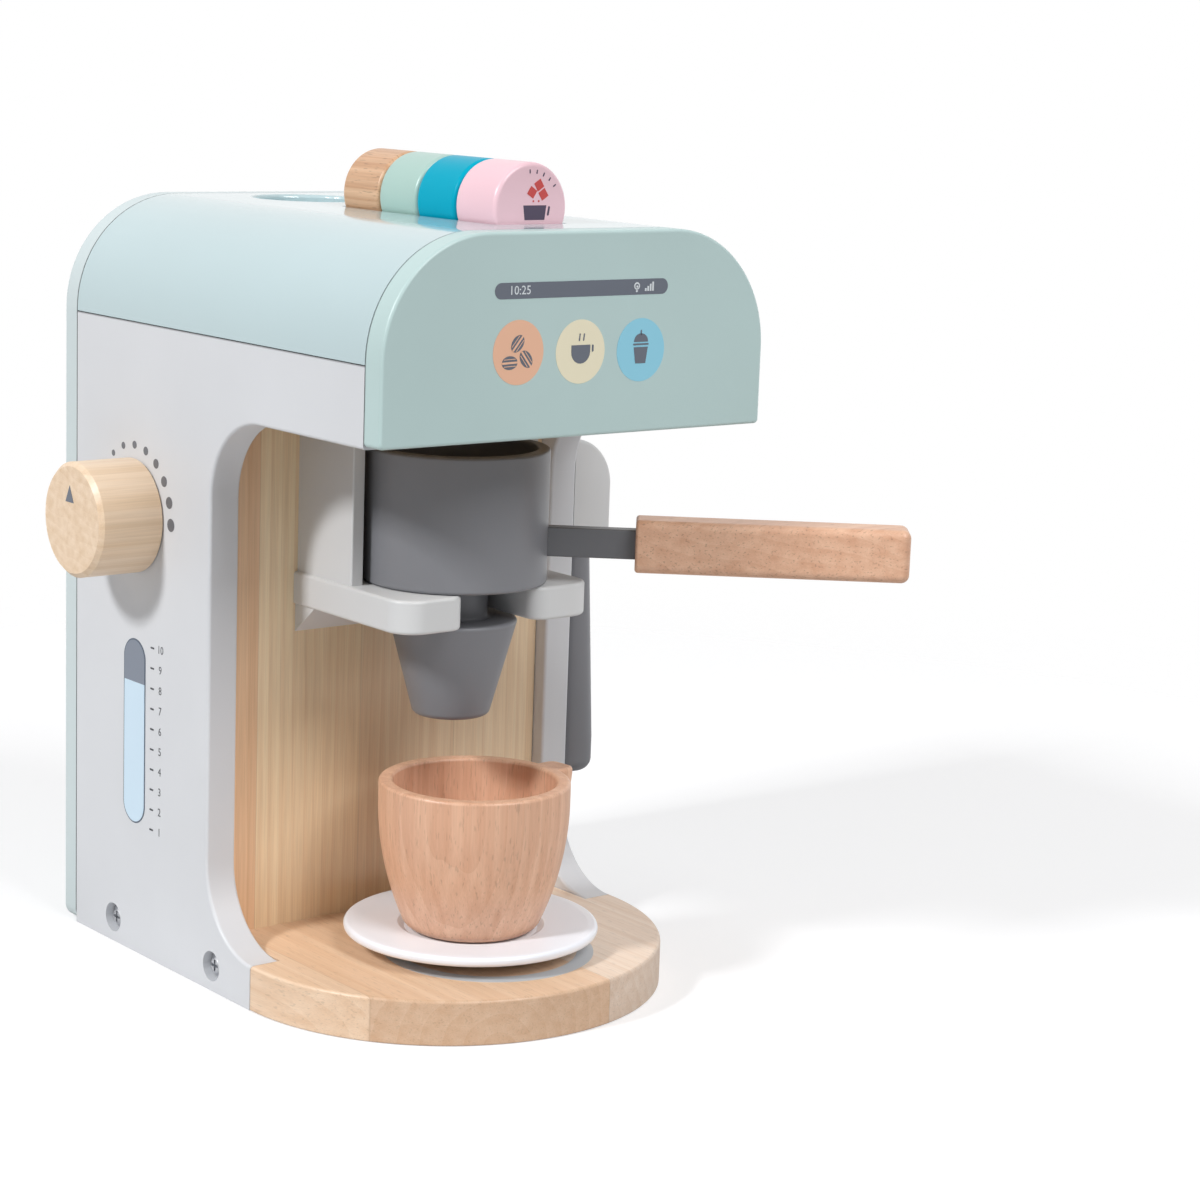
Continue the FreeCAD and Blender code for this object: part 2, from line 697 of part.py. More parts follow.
def portafilter_bar():
    """Flat bar from the cup's wall into the grip."""
    low = filter_base + bar_centre - bar_height / 2
    body = new_body("portafilter_bar", 0, brew_y, low, -handle_angle)
    sketch = sketch_on(body, "XY_Plane")
    start = filter_radius - bar_tenon + run_gap
    end = handle_start + handle_mortise - run_gap
    box_outline(sketch, start, -bar_thick / 2, end, bar_thick / 2)
    feature(body, "Pad", sketch, bar_height)

    def long_edge(edge):
        box = edge.BoundBox
        return box.XLength > 10 and box.YLength < 0.01 and box.ZLength < 0.01
    dress(body, "Fillet", soft_edge / 2, long_edge)


def portafilter_handle():
    """Beech grip with rounded edges and a mortise for the bar."""
    body = new_body("portafilter_handle", 0, brew_y, filter_base + bar_centre, -handle_angle)
    sketch = sketch_on(body, "YZ_Plane", handle_start)
    wide = handle_thick / 2
    tall = handle_height / 2
    box_outline(sketch, -wide, -tall, wide, tall)
    feature(body, "Pad", sketch, handle_length)

    def long_or_far(edge):
        return edge.CenterOfMass.x > number(handle_start) + 1
    dress(body, "Fillet", 2.5 * soft_edge, long_or_far)
    dress(body, "Fillet", soft_edge, lambda edge: level(edge, "x", handle_start))
    mortise = sketch_on(body, "YZ_Plane", handle_start)
    half = bar_thick / 2 + run_gap
    box_outline(mortise, -half, -bar_height / 2 - run_gap, half, bar_height / 2 + run_gap)
    cut = feature(body, "Pocket", mortise, handle_mortise)
    cut.Reversed = True
    doc.recompute()


def knob():
    """Turned knob with a bevelled face and a blind socket for its dowel."""
    body = new_body("knob", -half_width - joint_gap, shaft_y, knob_rise)
    disc = sketch_on(body, "YZ_Plane")
    circle(disc, 0, 0, knob_radius)
    pad = feature(body, "Pad", disc, knob_length)
    pad.Reversed = True
    doc.recompute()
    dress(body, "Chamfer", knob_bevel, lambda edge: level(edge, "x", -knob_length))
    dress(body, "Fillet", soft_edge / 2, lambda edge: level(edge, "x", 0))
    socket = sketch_on(body, "YZ_Plane")
    circle(socket, 0, 0, axle_radius + run_gap)
    feature(body, "Pocket", socket, axle_socket)


def knob_axle():
    """Dowel glued in the knob, running through the side board to its retaining ring."""
    body = new_body("knob_axle", -half_width - joint_gap, shaft_y, knob_rise)
    sketch = sketch_on(body, "YZ_Plane", rest_gap - axle_socket)
    circle(sketch, 0, 0, axle_radius)
    feature(body, "Pad", sketch, axle_socket + side_thick + 2 * joint_gap + retainer_thick)


def knob_retainer():
    """Ring glued on the dowel inside the housing."""
    body = new_body("knob_retainer", joint_gap - inner_half, shaft_y, knob_rise)
    sketch = sketch_on(body, "YZ_Plane")
    circle(sketch, 0, 0, retainer_radius)
    circle(sketch, 0, 0, axle_radius + run_gap)
    feature(body, "Pad", sketch, retainer_thick)
    dress(body, "Fillet", soft_edge / 2, lambda edge: edge.BoundBox.YLength > number(retainer_radius) * 1.5)


def steam_holder():
    """Round-backed holder outside the right board, bored for its pivot and for the wand's peg."""
    body = new_body("steam_holder", half_width + joint_gap, holder_front + holder_depth, holder_bottom)
    sketch = sketch_on(body, "XZ_Plane")
    top = holder_straight + leg(holder_arc, holder_arc - holder_width)
    outline(sketch, (0, 0), [
        ((holder_width, 0),),
        ((holder_width, holder_straight),),
        ((0, top), holder_arc, 1),
        ((0, 0),),
    ])
    feature(body, "Pad", sketch, holder_depth)

    def outer_edge(edge):
        return edge.CenterOfMass.x > 1 and not level(edge, "z", 0)
    dress(body, "Fillet", soft_edge, outer_edge)
    pivot = sketch_on(body, "YZ_Plane")
    circle(pivot, -holder_depth / 2, pivot_rise, pivot_radius + run_gap)
    cut = feature(body, "Pocket", pivot, pivot_depth + rest_gap)
    cut.Reversed = True
    doc.recompute()
    socket = sketch_on(body, "XY_Plane")
    circle(socket, wand_offset, -holder_depth / 2, wand_peg + run_gap)
    cut = feature(body, "Pocket", socket, pivot_rise - pivot_radius - socket_web)
    cut.Reversed = True
    doc.recompute()


def steam_pivot():
    """Dowel on which the holder turns in the right board."""
    reach = half_width + joint_gap / 2
    body = new_body("steam_pivot", reach, holder_mid, holder_bottom + pivot_rise)
    sketch = sketch_on(body, "YZ_Plane", -pivot_depth)
    circle(sketch, 0, 0, pivot_radius)
    feature(body, "Pad", sketch, 2 * pivot_depth)


def steam_wand():
    """Turned wand that swells towards its round end, pegged up into the holder."""
    body = new_body("steam_wand", half_width + joint_gap + wand_offset, holder_mid, holder_bottom)
    sketch = sketch_on(body, "XZ_Plane")
    peg = pivot_rise - pivot_radius - socket_web - rest_gap
    outline(sketch, (0, -wand_length), [
        ((wand_end, -wand_length),),
        ((wand_end, wand_round + wand_end - wand_length),),
        ((wand_top, -rest_gap),),
        ((wand_peg, -rest_gap),),
        ((wand_peg, peg),),
        ((0, peg),),
        ((0, -wand_length),),
    ])
    feature(body, "Revolution", sketch)
    dress(body, "Fillet", wand_round, lambda edge: level(edge, "z", -wand_length))


def capsule(name, place):
    """Thick disc on edge, one of the row that stands in the cover's slot."""
    face = row_back - place * (pod_thick + pod_gap)
    body = new_body(name, 0, face, pod_height)
    sketch = sketch_on(body, "XZ_Plane")
    circle(sketch, 0, 0, pod_radius)
    feature(body, "Pad", sketch, pod_thick)
    dress(body, "Fillet", pod_edge, lambda edge: edge.BoundBox.XLength > number(pod_radius))


def cup_side(sketch_radius, belly, foot):
    """Half width of the cup's side curve at the height of the foot."""
    turn = cup_height - cup_straight - foot
    return sketch_radius - belly + leg(belly, turn)


def coffee_cup():
    """Turned beech cup: full side curve, upright rim and hollow inside."""
    stand = base_thick + rest_gap + saucer_bed + rest_gap
    body = new_body("coffee_cup", 0, cup_y, stand)
    sketch = sketch_on(body, "XZ_Plane")
    shoulder = cup_height - cup_straight
    inside = cup_radius - cup_wall
    belly = cup_belly - cup_wall
    outline(sketch, (0, 0), [
        ((cup_side(cup_radius, cup_belly, 0 * cup_floor), 0),),
        ((cup_radius, shoulder), cup_belly, 1),
        ((cup_radius, cup_height),),
        ((inside, cup_height),),
        ((inside, shoulder),),
        ((cup_side(inside, belly, cup_floor), cup_floor), belly, -1),
        ((0, cup_floor),),
        ((0, 0),),
    ])
    feature(body, "Revolution", sketch)
    dress(body, "Fillet", cup_round, lambda edge: level(edge, "z", 0))
    dress(body, "Fillet", cup_wall - soft_edge, lambda edge: level(edge, "z", cup_floor))
    dress(body, "Fillet", soft_edge, lambda edge: level(edge, "z", cup_height))


def cup_ear():
    """Small solid ear glued to the cup, hollowed to the cup's side."""
    stand = base_thick + rest_gap + saucer_bed + rest_gap
    body = new_body("coffee_cup_ear", 0, cup_y, stand, ear_turn)
    sketch = sketch_on(body, "XZ_Plane", -ear_thick / 2)
    top = cup_height - soft_edge
    root_x = cup_radius - cup_wall
    tip = cup_radius + ear_reach
    outline(sketch, (root_x, top), [
        ((root_x, cup_height - ear_drop),),
        ((tip, top - 2 * soft_edge), ear_radius, 1),
        ((tip, top),),
        ((root_x, top),),
    ])
    feature(body, "Pad", sketch, ear_thick)

    def long_edge(edge):
        flank = level(edge, "y", ear_thick / 2) or level(edge, "y", -ear_thick / 2)
        return flank and edge.CenterOfMass.x > number(cup_radius) + 1 and not level(edge, "z", top)
    dress(body, "Fillet", ear_corner, long_edge)
    dress(body, "Fillet", soft_edge, lambda edge: level(edge, "z", top) and not level(edge, "x", root_x))
    waste = sketch_on(body, "XZ_Plane")
    edge = cup_radius + rest_gap
    foot = cup_height - ear_drop - ear_trim
    shoulder = cup_height - cup_straight
    outline(waste, (0, foot), [
        ((cup_side(edge, cup_belly, foot), foot),),
        ((edge, shoulder), cup_belly, 1),
        ((edge, cup_height + 1),),
        ((0, cup_height + 1),),
        ((0, foot),),
    ])
    feature(body, "Groove", waste)


def saucer():
    """Shallow turned saucer with a foot ring's width of flat and a well for the cup."""
    body = new_body("saucer", 0, cup_y, base_thick + rest_gap)
    sketch = sketch_on(body, "XZ_Plane")
    lip = saucer_height - saucer_lip
    dish = saucer_height - saucer_slope
    outline(sketch, (0, 0), [
        ((saucer_foot, 0),),
        ((saucer_radius, lip),),
        ((saucer_radius, saucer_height),),
        ((saucer_radius - 3 * soft_edge, saucer_height),),
        ((saucer_well + 2 * soft_edge, dish),),
        ((saucer_well, saucer_bed),),
        ((0, saucer_bed),),
        ((0, 0),),
    ])
    feature(body, "Revolution", sketch)

    def rim(edge):
        wide = edge.BoundBox.XLength > 2 * number(saucer_radius) - 0.1
        return wide and edge.BoundBox.ZLength < 0.01
    dress(body, "Fillet", saucer_lip * 0.48, rim)
    dress(body, "Fillet", soft_edge, lambda edge: level(edge, "z", 0))


def base_screws():
    """Four cross-head screws that hold the side boards to the base's tongue."""
    body = new_body("screw_form")
    exports.remove(body)
    sketch = sketch_on(body, "XZ_Plane")
    outline(sketch, (0, -screw_length), [
        ((screw_shank, -screw_length),),
        ((screw_shank, 0),),
        ((screw_head, 0),),
        ((screw_head, screw_cap / 3),),
        ((screw_head / 2, screw_cap),),
        ((0, screw_cap),),
        ((0, -screw_length),),
    ])
    feature(body, "Revolution", sketch)
    cross = sketch_on(body, "XY_Plane", screw_cap)
    arm = screw_head * 0.45
    half = screw_head * 0.11
    outline(cross, (half, half), [
        ((half, arm),), ((-half, arm),), ((-half, half),), ((-arm, half),),
        ((-arm, -half),), ((-half, -half),), ((-half, -arm),), ((half, -arm),),
        ((half, -half),), ((arm, -half),), ((arm, half),), ((half, half),),
    ])
    feature(body, "Pocket", cross, screw_cap / 2)
    copies = []
    for side in (-1, 1):
        for reach in (screw_rear, screw_front):
            turn = FreeCAD.Rotation(FreeCAD.Vector(0, 1, 0), 90 * side)
            spot = FreeCAD.Vector(side * number(half_width - sink_depth + joint_gap / 3),
                                  number(back_y - reach), number(screw_rise))
            copy = body.Shape.copy()
            copy.Placement = FreeCAD.Placement(spot, turn)
            copies.append(copy)
    item = doc.addObject("Part::Feature", "base_screws")
    item.Label = "base_screws"
    item.Shape = Part.makeCompound(copies)
    exports.append(item)


left_board()
right_board()
end_board("back_board", back_y, 0, back_corner)
end_board("front_fascia", front_y + end_thick, head_bottom + fascia_reveal, fascia_corner)
top_cover()
pine_board()
base_plate()
head_floor()
pod_rack()
recess_tray()
cheek("cheek_left", -1)
cheek("cheek_right", 1)
fork_plate()
fork_cleat()
portafilter_cup()
portafilter_spout()
portafilter_bar()
portafilter_handle()
knob()
knob_axle()
knob_retainer()
steam_holder()
steam_pivot()
steam_wand()
capsule("pod_natural", 0)
capsule("pod_mint", 1)
capsule("pod_teal", 2)
capsule("pod_pink", 3)
coffee_cup()
cup_ear()
saucer()
base_screws()
doc.recompute()

# Every object is sound, and every piece is a closed solid, before anything is written.
for item in doc.Objects:
    if "Invalid" in item.State or "Error" in item.State:
        raise RuntimeError("failed object: " + item.Name)
os.makedirs("parts", exist_ok=True)
for item in exports:
    if item.Shape.isNull() or not item.Shape.isValid() or item.Shape.Volume <= 0:
        raise RuntimeError("unsound piece: " + item.Label)
    item.Shape.exportStep("parts/" + item.Label + ".step")
    print(item.Label, round(item.Shape.Volume), [round(v, 2) for v in (
        item.Shape.BoundBox.XMin, item.Shape.BoundBox.XMax, item.Shape.BoundBox.YMin,
        item.Shape.BoundBox.YMax, item.Shape.BoundBox.ZMin, item.Shape.BoundBox.ZMax)])
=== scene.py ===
import math

import bpy
from mathutils import Matrix, Vector


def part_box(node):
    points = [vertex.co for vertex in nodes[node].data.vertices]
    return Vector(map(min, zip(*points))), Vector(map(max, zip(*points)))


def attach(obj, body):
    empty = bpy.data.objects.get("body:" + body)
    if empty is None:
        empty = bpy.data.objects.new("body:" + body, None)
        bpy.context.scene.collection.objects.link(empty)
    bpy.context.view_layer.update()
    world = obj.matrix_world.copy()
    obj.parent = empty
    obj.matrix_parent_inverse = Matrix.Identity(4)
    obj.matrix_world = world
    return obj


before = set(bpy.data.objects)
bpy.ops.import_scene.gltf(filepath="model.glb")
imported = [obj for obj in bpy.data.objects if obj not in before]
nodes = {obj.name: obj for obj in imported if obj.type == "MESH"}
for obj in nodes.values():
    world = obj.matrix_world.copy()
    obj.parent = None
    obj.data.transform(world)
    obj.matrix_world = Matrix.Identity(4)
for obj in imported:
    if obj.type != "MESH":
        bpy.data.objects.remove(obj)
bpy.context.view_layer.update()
bpy.ops.object.select_all(action="DESELECT")

# Side boards: two C-shaped boards, sawn from plywood and sprayed a cool light grey on all faces.
# The paint is satin, with a trace of orange peel and slow shifts of tone, and a fine line of
# painted shade darkens the top edge where the cover meets the boards, for the shadow in that seam.
# The other painted pieces use the same steps.


def add_step(tree, kind, feeds=(), **settings):
    """One node of a finish, with its settings and what feeds its sockets."""
    made = tree.nodes.new("ShaderNode" + kind)
    for setting, value in settings.items():
        setattr(made, setting, value)
    for socket, source in feeds:
        if hasattr(source, "is_output"):
            tree.links.new(source, made.inputs[socket])
        else:
            made.inputs[socket].default_value = source
    return made


def reckon(tree, operation, *terms):
    """A sum on plain numbers."""
    return add_step(tree, "Math", list(enumerate(terms)), operation=operation).outputs[0]


def reckon_place(tree, operation, *terms):
    """A sum on places or directions."""
    return add_step(tree, "VectorMath", list(enumerate(terms)), operation=operation).outputs[0]


def ranged(tree, value, start, end, low=0.0, high=1.0):
    """A number carried from one range to another and held inside it."""
    feeds = [("Value", value), ("From Min", start), ("From Max", end),
             ("To Min", low), ("To Max", high)]
    return add_step(tree, "MapRange", feeds).outputs["Result"]


noise_low = 0.3
noise_high = 0.7


def mottle(tree, place, scale, detail):
    """A soft noise over the piece, which mostly lies between the two values above."""
    return add_step(tree, "TexNoise", [("Vector", place), ("Scale", scale), ("Detail", detail)])


def blend(tree, share, first, second, kind="MIX"):
    """Two colours laid over each other."""
    feeds = [("Fac", share), ("Color1", first), ("Color2", second)]
    return add_step(tree, "MixRGB", feeds, blend_type=kind).outputs[0]


def raise_skin(tree, surface, pattern, strength, depth=0.0002):
    """Small bumps in the gloss, from a noise."""
    feeds = [("Height", pattern.outputs["Fac"]), ("Strength", strength), ("Distance", depth)]
    tree.links.new(add_step(tree, "Bump", feeds).outputs["Normal"], surface.inputs["Normal"])


def blank_finish(name, roughness):
    """A new finish with one surface shader, and the place on the piece that its patterns read."""
    finish = bpy.data.materials.new(name)
    finish.use_nodes = True
    tree = finish.node_tree
    surface = tree.nodes["Principled BSDF"]
    surface.inputs["Roughness"].default_value = roughness
    place = add_step(tree, "TexCoord").outputs["Object"]
    return finish, tree, surface, place


def srgb(red, green, blue):
    """A colour as it is seen on a screen, from 0 to 255, as linear light."""
    shares = [channel / 255 for channel in (red, green, blue)]
    return [s / 12.92 if s <= 0.04045 else ((s + 0.055) / 1.055) ** 2.4 for s in shares] + [1.0]


# Painted shade at seams: a band of paint this wide is darkened down to this share, for the shadow
# in the gap where two boards meet.
shaded_seam_wide = 0.0006
shaded_seam_dark = 0.25
gloss_shift = 0.04


def sprayed_paint(name, colour, roughness=0.42, peel=0.06, shift=0.03, shaded_seam=()):
    """Sprayed paint on wood: slow shifts of tone, and fine orange peel in the gloss.
    A shaded seam is an axis and two places on it: painted shade darkens the paint from the first to
    the second, for the shadow in the gap where two boards meet."""
    finish, tree, surface, place = blank_finish(name, roughness)
    cloud = mottle(tree, place, scale=14.0, detail=3.0).outputs["Fac"]
    light = ranged(tree, cloud, noise_low, noise_high, 1 - shift, 1 + shift)
    # Painted shade: the paint darkens across the seam's band, for the shadow in the gap.
    if shaded_seam:
        axis, start, edge = shaded_seam
        parts = add_step(tree, "SeparateXYZ", [("Vector", place)])
        line = ranged(tree, parts.outputs[axis], start, edge, 1.0, shaded_seam_dark)
        light = reckon(tree, "MULTIPLY", light, line)
    tone = add_step(tree, "HueSaturation", [("Value", light), ("Color", colour)])
    tree.links.new(tone.outputs["Color"], surface.inputs["Base Color"])
    gloss = ranged(tree, cloud, noise_low, noise_high, roughness - gloss_shift,
                   roughness + gloss_shift)
    tree.links.new(gloss, surface.inputs["Roughness"])
    raise_skin(tree, surface, mottle(tree, place, scale=900.0, detail=2.0), peel)
    return finish


def dress(finish, *names):
    """Gives a finish to CAD pieces by their node names."""
    for name in names:
        for slot in nodes[name].material_slots:
            slot.material = finish


board_low, board_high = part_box("side_board_left")
# Painted shade: the top band of the side boards is darkened, for the shadow in the seam under the
# cover.
board_shaded_seam = ("Z", board_high.z - shaded_seam_wide, board_high.z)
dress(sprayed_paint("side_paint", srgb(214, 216, 220), shaded_seam=board_shaded_seam),
      "side_board_left", "side_board_right")

# Fascia and back board: the two end boards close the cover, cut to the same rounded shoulders.
# The fascia is sprayed a soft grey-green with a satin sheen, the back board a paler blue,
# and each has a fine line of painted shade where it meets the cover and the side boards.
fascia_low, fascia_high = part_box("front_fascia")
# Painted shade: the fascia's back band is darkened, for the shadow in its seam with the cover.
fascia_shaded_seam = ("Y", fascia_high.y - shaded_seam_wide, fascia_high.y)
dress(sprayed_paint("fascia_paint", srgb(186, 209, 208), roughness=0.38, shaded_seam=fascia_shaded_seam),
      "front_fascia")
back_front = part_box("back_board")[0].y
# Painted shade: the back board's band at its front face is darkened, for the shadow in its seams.
back_shaded_seam = ("Y", back_front + shaded_seam_wide, back_front)
dress(sprayed_paint("back_board_paint", srgb(202, 214, 216), roughness=0.38, shaded_seam=back_shaded_seam),
      "back_board")

# Top cover: a board bent over the two shoulders, with a round recess and a slot let into it.
# It has a glossier coat in a paler and bluer tone than the fascia, and mirrors the capsules.
cover_blue = sprayed_paint("cover_gloss", srgb(184, 205, 209), roughness=0.2, peel=0.03,
                           shift=0.015)
cover_shader = cover_blue.node_tree.nodes["Principled BSDF"]
cover_shader.inputs["Coat Weight"].default_value = 0.6
cover_shader.inputs["Coat Roughness"].default_value = 0.06
dress(cover_blue, "top_cover")
dress(sprayed_paint("recess_paint", srgb(196, 220, 226), roughness=0.35), "recess_tray")

# Pine board behind the brew bay: upright strips glued edge to edge, planed and lacquered.
# Each strip has its own tone and its own run of straight growth rings.
# The grain is made here once, and each wooden piece below turns and scales it to suit.
glue_half = 0.0004
glue_dark = 0.86


def lacquered_wood(name, pale, dark, along, pith, ring, ring_depth=0.3, fibre=0.05, fleck=0.0,
                   roughness=0.38, strips=(), wobble=1.0, streak=0.7):
    """Wood with rings round a pith line that runs along one axis, streaks, fibres and dark flecks.
    Each strip is a glue line's place across the board and the tint of the wood past it."""
    finish, tree, surface, place = blank_finish(name, roughness)
    axis = "XYZ".index(along)
    parts = add_step(tree, "SeparateXYZ", [("Vector", place)])
    across = parts.outputs["Y" if along == "X" else "X"]
    sides = [reckon(tree, "GREATER_THAN", across, line) for line, tint in strips]
    where = place
    if sides:
        tally = sides[0]
        for side in sides[1:]:
            tally = reckon(tree, "ADD", tally, side)
        chance = add_step(tree, "TexWhiteNoise", [("W", tally)], noise_dimensions="1D")
        jump = reckon_place(tree, "MULTIPLY", chance.outputs["Color"], (0.13, 0.09, 0.17))
        where = reckon_place(tree, "ADD", place, jump)

    def drawn_out(share, source, shift=(0.0, 0.0, 0.0)):
        """Places squeezed along the grain, so that a pattern on them is drawn out along it."""
        size = [1.0, 1.0, 1.0]
        size[axis] = share
        feeds = [("Vector", source), ("Location", shift), ("Scale", size)]
        return add_step(tree, "Mapping", feeds).outputs[0]

    drift = mottle(tree, drawn_out(0.05, where), scale=30.0, detail=2.0)
    sway = reckon_place(tree, "SUBTRACT", drift.outputs["Color"], (0.5, 0.5, 0.5))
    push = add_step(tree, "VectorMath", [(0, sway), ("Scale", 0.02 * wobble)], operation="SCALE")
    bent = reckon_place(tree, "ADD", drawn_out(0.05, where, pith), push.outputs[0])
    rings = add_step(tree, "TexWave", [("Vector", bent), ("Scale", math.pi / 10 / ring),
                                       ("Distortion", 0.7), ("Detail", 2.0), ("Detail Scale", 1.5)],
                     wave_type="RINGS", rings_direction=along, wave_profile="SAW")
    broad = mottle(tree, drawn_out(0.02, where), scale=330.0, detail=3.0)
    fibres = mottle(tree, drawn_out(0.02, where), scale=2400.0, detail=3.0)
    depth = reckon(tree, "MULTIPLY", rings.outputs["Fac"], ring_depth)
    weight = reckon(tree, "MULTIPLY_ADD", broad.outputs["Fac"], streak, depth)
    share = ranged(tree, weight, noise_low * streak, noise_high * streak + ring_depth)
    wood = blend(tree, share, pale, dark)
    light = ranged(tree, fibres.outputs["Fac"], noise_low, noise_high, 1 - fibre, 1 + fibre)
    tone = wood
    for side, (line, tint) in zip(sides, strips):
        tone = blend(tree, side, tone, blend(tree, 1.0, wood, tint, "MULTIPLY"))
        near = reckon(tree, "ABSOLUTE", reckon(tree, "SUBTRACT", across, line))
        line_dark = ranged(tree, near, 0.0, glue_half, glue_dark, 1.0)
        light = reckon(tree, "MULTIPLY", light, line_dark)
    if fleck:
        specks = mottle(tree, drawn_out(0.12, place), scale=1500.0, detail=1.0)
        mark = ranged(tree, specks.outputs["Fac"], 0.62, 0.70, 1.0, 1 - fleck)
        light = reckon(tree, "MULTIPLY", light, mark)
    shade = add_step(tree, "HueSaturation", [("Value", light), ("Color", tone)])
    tree.links.new(shade.outputs["Color"], surface.inputs["Base Color"])
    raise_skin(tree, surface, fibres, strength=0.12)
    return finish


pine_strips = ((-0.0565, (1.1, 1.28, 1.36, 1.0)), (-0.012, (1.06, 1.22, 1.32, 1.0)),
               (0.031, (1.1, 1.28, 1.4, 1.0)))
pine = lacquered_wood("lacquered_pine", srgb(236, 202, 166), srgb(218, 176, 138), along="Z",
                      pith=(-0.30, 0.04, 0.0), ring=0.0042, ring_depth=0.2, fibre=0.06,
                      strips=pine_strips, wobble=0.8)
dress(pine, "inner_back_board")

# Base plate: three planks glued side by side, grain from front to back, and a half-round front.
# The round front is sawn across the grain and darker there, and the left flank is long grain.
plank_left = -0.0645
plank_right = 0.016
base_planks = ((plank_left, (0.98, 0.93, 0.88, 1.0)), (plank_right, (1.03, 1.13, 1.27, 1.0)))
base_wood = lacquered_wood("lacquered_base", srgb(236, 209, 182), srgb(222, 188, 156), along="Y",
                           pith=(0.01, 0.0, -0.09), ring=0.006, ring_depth=0.16, fleck=0.14,
                           strips=base_planks, wobble=0.4)
front_middle = (0.0, -0.0254, 0.0)
front_radius = 0.0806
edge_round = 0.0009
base_tree = base_wood.node_tree
base_shader = base_tree.nodes["Principled BSDF"]
base_tone = base_shader.inputs["Base Color"].links[0].from_socket
base_place = add_step(base_tree, "TexCoord").outputs["Object"]
plan = reckon_place(base_tree, "MULTIPLY", base_place, (1.0, 1.0, 0.0))
out = add_step(base_tree, "VectorMath", [(0, plan), (1, front_middle)], operation="DISTANCE")
rim = ranged(base_tree, out.outputs["Value"], front_radius - edge_round, front_radius)
base_parts = add_step(base_tree, "SeparateXYZ", [("Vector", base_place)])
inside = reckon(base_tree, "GREATER_THAN", base_parts.outputs["X"], plank_left)
sawn = reckon(base_tree, "MULTIPLY", rim, inside)
end_grain = blend(base_tree, sawn, base_tone, (0.84, 0.82, 0.82, 1.0), "MULTIPLY")
base_tree.links.new(end_grain, base_shader.inputs["Base Color"])
dress(base_wood, "base_plate")

# Hidden boards: the head's floor and the capsules' rack, sawn and left bare inside the housing.
# A sliver of each shows, only from below and through the slot.
bare_board = lacquered_wood("bare_board", srgb(212, 186, 146), srgb(192, 160, 118), along="X",
                            pith=(0.0, 0.03, 0.05), ring=0.005, roughness=0.6)
dress(bare_board, "head_floor", "pod_rack")

# Fork plate, cheeks, cleat and steam holder: small sawn boards with sanded edges,
# glued or dowelled in place and sprayed a neutral light grey.
light_grey = sprayed_paint("light_grey_paint", srgb(209, 210, 211), roughness=0.4)
dress(light_grey, "fork_plate", "cheek_left", "cheek_right", "fork_cleat", "steam_holder")

# Portafilter and steam wand: turned wood under a satin dark grey paint.
# The flat bar between cup and grip is let into both, and has its own copy of the grey, darker as
# painted shade for the shade it lies in.
dark_grey = sprayed_paint("dark_grey_paint", srgb(123, 124, 129), roughness=0.4)
dress(dark_grey, "portafilter_cup", "portafilter_spout", "steam_wand")
# Painted shade: the bar's grey is darker than the cup's, for the shade it lies in.
dress(sprayed_paint("bar_shaded_grey", srgb(96, 97, 101), roughness=0.4), "portafilter_bar")

# Grip of the portafilter: a planed stick of beech with sanded edges, lacquered.
# The grain pattern runs along X, about 40 degrees off the stick, with short dark flecks.
beech_pale = srgb(228, 186, 157)
beech_dark = srgb(208, 159, 129)
dress(lacquered_wood("grip_beech", beech_pale, beech_dark, along="X", pith=(0.0, 0.02, 0.10),
                     ring=0.006, ring_depth=0.12, fleck=0.26), "portafilter_handle")

# Knob: turned from light wood with the grain along its axis, so its face shows end grain.
# It turns on a dowel of the same wood, with a ring that keeps the dowel in the side board.
dress(lacquered_wood("knob_wood", srgb(240, 216, 190), srgb(222, 192, 158), along="X",
                     pith=(0.0, -0.03, -0.26), ring=0.004, ring_depth=0.10), "knob")
dress(lacquered_wood("dowel_wood", srgb(226, 200, 160), srgb(206, 170, 124), along="X",
                     pith=(0.0, 0.0, 0.0), ring=0.003),
      "knob_axle", "knob_retainer", "steam_pivot")

# Capsules: four turned discs that stand on edge in the slot, with a little play.
# One is left natural and lacquered, and three are dipped in mint, teal and pink gloss paint.
dress(lacquered_wood("natural_capsule", srgb(222, 184, 150), srgb(184, 136, 100), along="Y",
                     pith=(0.03, 0.0, -0.29), ring=0.0024, ring_depth=0.12, fibre=0.08,
                     fleck=0.3, wobble=0.3, streak=0.8), "pod_natural")
dress(sprayed_paint("mint_paint", srgb(168, 198, 190), roughness=0.3), "pod_mint")
teal = sprayed_paint("teal_paint", srgb(0, 164, 192), roughness=0.34)
teal.node_tree.nodes["Principled BSDF"].inputs["Specular IOR Level"].default_value = 0.08
dress(teal, "pod_teal")
dress(sprayed_paint("pink_paint", srgb(238, 198, 208), roughness=0.3), "pod_pink")

# Coffee cup: turned beech with the grain upright, lacquered inside and out.
# Its little pointed ear is cut from the same beech and glued on below the rim.
dress(lacquered_wood("cup_beech", beech_pale, beech_dark, along="Z", pith=(0.09, 0.11, 0.0),
                     ring=0.007, ring_depth=0.14, fleck=0.18), "coffee_cup", "coffee_cup_ear")

# Saucer: a turned disc with a raised lip and a shallow bed for the cup.
# It is sprayed white, with a soft gloss.
dress(sprayed_paint("saucer_paint", srgb(240, 244, 252), roughness=0.3), "saucer")

# Screws: zinc-plated cross heads that hold the side boards to the base plate.
# Each sits at the bottom of its counterbore.
screw_zinc, _, screw_shader, _ = blank_finish("screw_zinc", 0.32)
screw_shader.inputs["Metallic"].default_value = 1.0
screw_shader.inputs["Base Color"].default_value = srgb(196, 198, 202)
dress(screw_zinc, "base_screws")

# Screen on the fascia: one screen-printed grey bar with the time and two small signs in white ink.
# Printed pieces are flat plates, a tenth of a millimetre proud of the paint.
# Their sizes are in millimetres, and are turned to metres where they are made.
mm = 0.001
ink = 0.1 * mm


